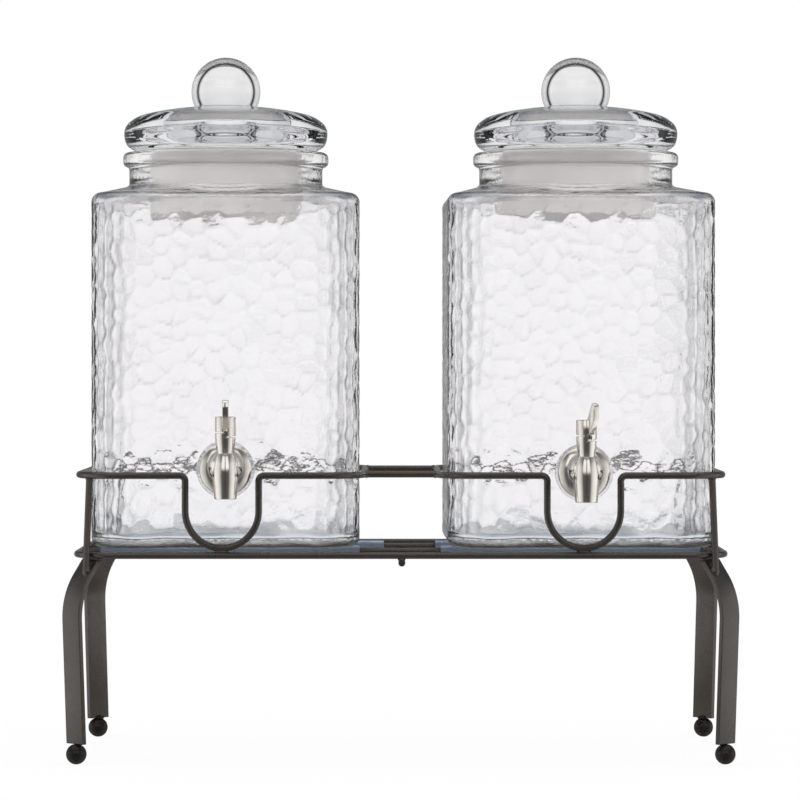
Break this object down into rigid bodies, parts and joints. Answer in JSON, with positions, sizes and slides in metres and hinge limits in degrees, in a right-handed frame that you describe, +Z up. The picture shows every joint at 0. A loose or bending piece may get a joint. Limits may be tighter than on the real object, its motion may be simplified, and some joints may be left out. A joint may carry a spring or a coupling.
{
  "type": "glass beverage dispenser",
  "caption": "Twin glass drink jars with ball-knob lids and turn taps, side by side on a welded wire stand with bent flat legs and ball feet.",
  "frame": {"origin": "on the floor under the middle of the whole object's reach", "axes": "+X to the viewer's right along the stand, +Y to the back, +Z up; the taps face -Y"},
  "size_m": [0.4098, 0.2134, 0.4331],
  "materials": {
    "painted_steel": "satin dark bronze",
    "clear_glass": "clear, hammered",
    "soft_plastic": "translucent off-white",
    "clear_vinyl": "clear, faintly blue",
    "polished_steel": "polished",
    "silicone_rubber": "translucent grey"
  },
  "bodies": {
    "stand": {"base_ring": "painted_steel", "left_jar_loop": "painted_steel", "right_jar_loop": "painted_steel", "front_link_bar": "painted_steel", "rear_link_bar": "painted_steel", "front_support_rod": "painted_steel", "rear_support_rod": "painted_steel", "cross_brace": "painted_steel", "front_left_leg": "painted_steel", "front_right_leg": "painted_steel", "rear_left_leg": "painted_steel", "rear_right_leg": "painted_steel", "front_left_post": "painted_steel", "front_right_post": "painted_steel", "rear_left_post": "painted_steel", "rear_right_post": "painted_steel", "front_left_ball_foot": "painted_steel", "front_right_ball_foot": "painted_steel", "rear_left_ball_foot": "painted_steel", "rear_right_ball_foot": "painted_steel", "front_left_rod_sleeve": "clear_vinyl", "front_right_rod_sleeve": "clear_vinyl", "rear_left_rod_sleeve": "clear_vinyl", "rear_right_rod_sleeve": "clear_vinyl"},
    "left_jar": {"left_jar": "clear_glass", "left_tap_body": "polished_steel", "left_escutcheon": "polished_steel", "left_outer_washer": "silicone_rubber", "left_inner_washer": "silicone_rubber", "left_shank_nut": "polished_steel"},
    "left_lid": {"left_lid": "clear_glass", "left_lid_sleeve": "soft_plastic"},
    "left_tap_handle": {"left_handle": "polished_steel", "left_handle_pin": "polished_steel", "left_valve_stem": "polished_steel", "left_stem_ring": "silicone_rubber"},
    "right_jar": {"right_jar": "clear_glass", "right_tap_body": "polished_steel", "right_escutcheon": "polished_steel", "right_outer_washer": "silicone_rubber", "right_inner_washer": "silicone_rubber", "right_shank_nut": "polished_steel"},
    "right_lid": {"right_lid": "clear_glass", "right_lid_sleeve": "soft_plastic"},
    "right_tap_handle": {"right_handle": "polished_steel", "right_handle_pin": "polished_steel", "right_valve_stem": "polished_steel", "right_stem_ring": "silicone_rubber"}
  },
  "joints": [
    {"name": "left_jar_lift", "type": "slide", "parent": "stand", "child": "left_jar", "axis": [0, 0, 1], "range_m": [0, 0.08]},
    {"name": "left_lid_lift", "type": "slide", "parent": "left_jar", "child": "left_lid", "axis": [0, 0, 1], "range_m": [0, 0.06]},
    {"name": "left_handle_turn", "type": "hinge", "parent": "left_jar", "child": "left_tap_handle", "pos_m": [-0.10515, -0.09516, 0.2], "axis": [0, 0, 1], "range_deg": [0, 90]},
    {"name": "right_jar_lift", "type": "slide", "parent": "stand", "child": "right_jar", "axis": [0, 0, 1], "range_m": [0, 0.08]},
    {"name": "right_lid_lift", "type": "slide", "parent": "right_jar", "child": "right_lid", "axis": [0, 0, 1], "range_m": [0, 0.06]},
    {"name": "right_handle_turn", "type": "hinge", "parent": "right_jar", "child": "right_tap_handle", "pos_m": [0.11125, -0.09523, 0.198], "axis": [0, 0, 1], "range_deg": [-28, 62]}
  ]
}
